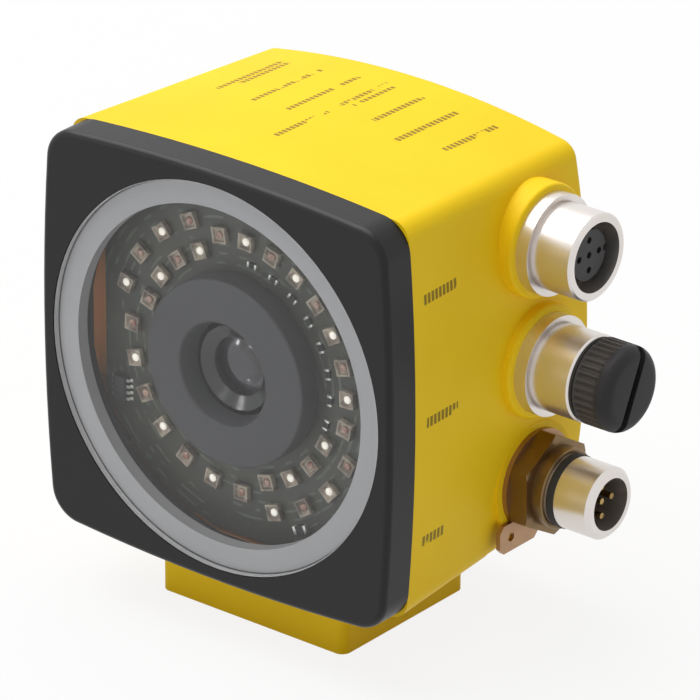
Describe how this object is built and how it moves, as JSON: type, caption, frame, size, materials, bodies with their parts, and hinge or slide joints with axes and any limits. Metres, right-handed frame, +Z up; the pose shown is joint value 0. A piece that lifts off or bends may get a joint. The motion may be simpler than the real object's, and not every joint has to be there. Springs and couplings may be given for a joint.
{
  "type": "optical position reader",
  "caption": "Cubic optical reader head with a lit round window, round side connectors, a screw-out blind plug and a foot with threaded inserts.",
  "frame": {"origin": "middle of the mounting foot's underside", "axes": "+Z up, the window faces -Y, the connectors point to +X"},
  "size_m": [0.0873, 0.0513, 0.0806],
  "materials": {
    "housing": "fine matt mould texture, signal yellow",
    "bezel": "fine matt mould texture, black",
    "window": "clear, polished",
    "window_ring": "smooth pale grey",
    "soft_seal": "matt black elastomer",
    "screw_steel": "zinc plated",
    "brass": "turned",
    "circuit_board": "dark solder resist on glass fibre laminate",
    "led": "moulded packages with clear tops",
    "chip": "black moulding compound",
    "hood": "matt dark grey",
    "lens_barrel": "matt black",
    "lens_glass": "polished, coated",
    "nickel": "nickel plated brass, satin",
    "nut": "nickel plated brass, dulled",
    "carrier": "black moulding",
    "contact": "gold plated",
    "blind_plug": "black moulding with a fine axial knurl"
  },
  "bodies": {
    "head": {"front_bezel": "bezel", "front_window": "window", "window_ring": "window_ring", "window_seal": "soft_seal", "housing": "housing", "housing_gasket": "soft_seal", "case_screws": "screw_steel", "mounting_foot": "housing", "foot_inserts": "brass", "foot_screws": "screw_steel", "led_board": "circuit_board", "ring_leds": "led", "led_board_chips": "chip", "lens_hood": "hood", "lens_barrel": "lens_barrel", "front_lens": "lens_glass", "rear_lens": "lens_glass", "lens_holder": "lens_barrel", "image_sensor": "chip", "camera_board": "circuit_board", "interface_board": "circuit_board", "front_spacers": "brass", "rear_spacers": "brass", "led_link": "chip", "board_link": "chip", "camera_board_chips": "chip", "interface_board_chips": "chip", "side_link": "chip", "connector_board": "circuit_board", "port_1_socket": "nickel", "port_1_seal": "soft_seal", "port_1_carrier": "carrier", "port_1_contacts": "contact", "port_2_socket": "nickel", "port_2_seal": "soft_seal", "port_2_carrier": "carrier", "port_2_contacts": "contact", "main_plug": "nickel", "main_seal": "soft_seal", "main_nut": "nut", "main_carrier": "carrier", "main_pins": "contact", "earth_tab": "nut"},
    "plug_ring": {"blind_plug_seal": "soft_seal"},
    "plug": {"blind_plug": "blind_plug"}
  },
  "joints": [
    {"name": "plug_travel", "type": "slide", "parent": "head", "child": "plug_ring", "axis": [1, 0, 0], "range_m": [0, 0.006]},
    {"name": "plug_turn", "type": "hinge", "parent": "plug_ring", "child": "plug", "pos_m": [0.046, 0.0131, 0.0456], "axis": [1, 0, 0], "range_deg": [0, 2161]}
  ],
  "couplings": [
    {"joint": "plug_turn", "follows": "plug_travel", "rad_per_m": 6283.2}
  ]
}
